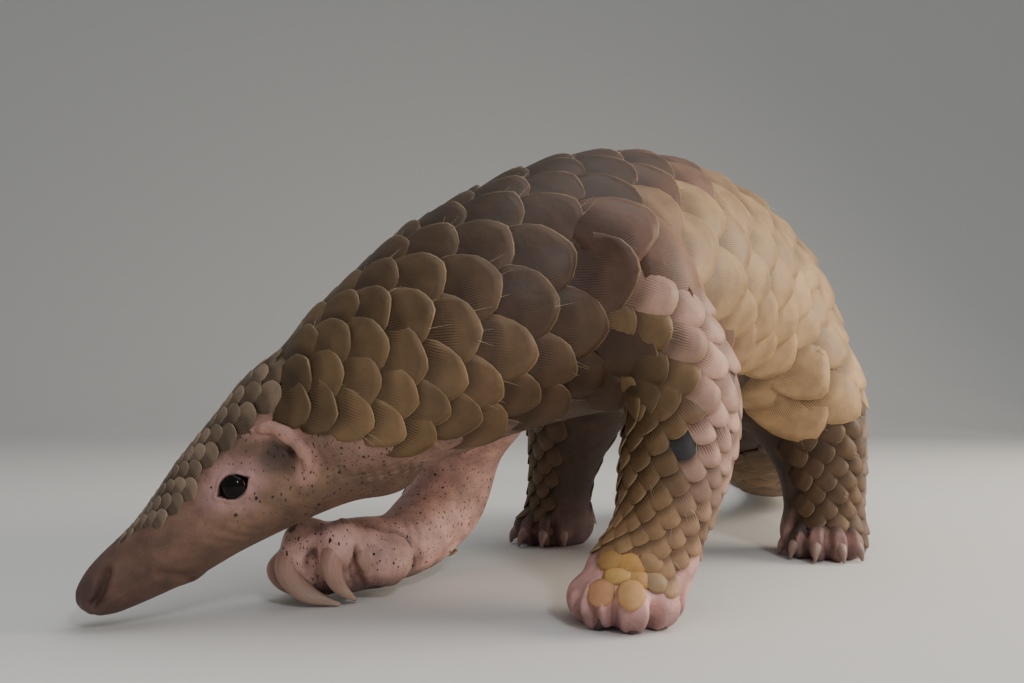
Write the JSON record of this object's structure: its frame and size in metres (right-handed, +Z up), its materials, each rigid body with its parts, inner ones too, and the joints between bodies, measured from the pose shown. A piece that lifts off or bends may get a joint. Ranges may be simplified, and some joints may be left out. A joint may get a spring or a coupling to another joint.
{
  "type": "pangolin",
  "caption": "Still, life-size pangolin with overlapping horny scales, standing on all four feet with its head lowered and its tail laid behind it.",
  "frame": {"origin": "centre of the footprint, on the floor", "axes": "+X runs back along the body towards the tail, +Y is the animal's right side, +Z is up"},
  "size_m": [0.712, 0.2538, 0.2251],
  "materials": {
    "scale_horn": "horny scales with fine growth lines, dark olive brown in front, sandy tan behind",
    "skin": "bare, dry, pale pink skin with dark specks of soil",
    "claw": "smooth, worn horn claws",
    "eye": "wet, glossy black"
  },
  "bodies": {
    "root": {"head": "skin", "ear_left": "skin", "eye_left": "eye", "ear_right": "skin", "eye_right": "eye", "neck": "scale_horn", "torso_front": "scale_horn", "torso_rear": "scale_horn", "tail_base": "scale_horn", "tail_middle": "scale_horn", "tail_end": "scale_horn", "foreleg_left_upper": "scale_horn", "foreleg_left_lower": "scale_horn", "foreleg_right_upper": "scale_horn", "foreleg_right_lower": "scale_horn", "hindleg_left_upper": "scale_horn", "hindleg_left_lower": "scale_horn", "hindleg_right_upper": "scale_horn", "hindleg_right_lower": "scale_horn", "forefoot_left": "skin", "forefoot_right": "skin", "hindfoot_left": "skin", "hindfoot_right": "skin", "claw_front_left_1": "claw", "claw_front_left_2": "claw", "claw_front_left_3": "claw", "claw_front_left_4": "claw", "claw_front_left_5": "claw", "claw_front_right_1": "claw", "claw_front_right_2": "claw", "claw_front_right_3": "claw", "claw_front_right_4": "claw", "claw_front_right_5": "claw", "claw_hind_left_1": "claw", "claw_hind_left_2": "claw", "claw_hind_left_3": "claw", "claw_hind_left_4": "claw", "claw_hind_left_5": "claw", "claw_hind_right_1": "claw", "claw_hind_right_2": "claw", "claw_hind_right_3": "claw", "claw_hind_right_4": "claw", "claw_hind_right_5": "claw"}
  },
  "joints": []
}
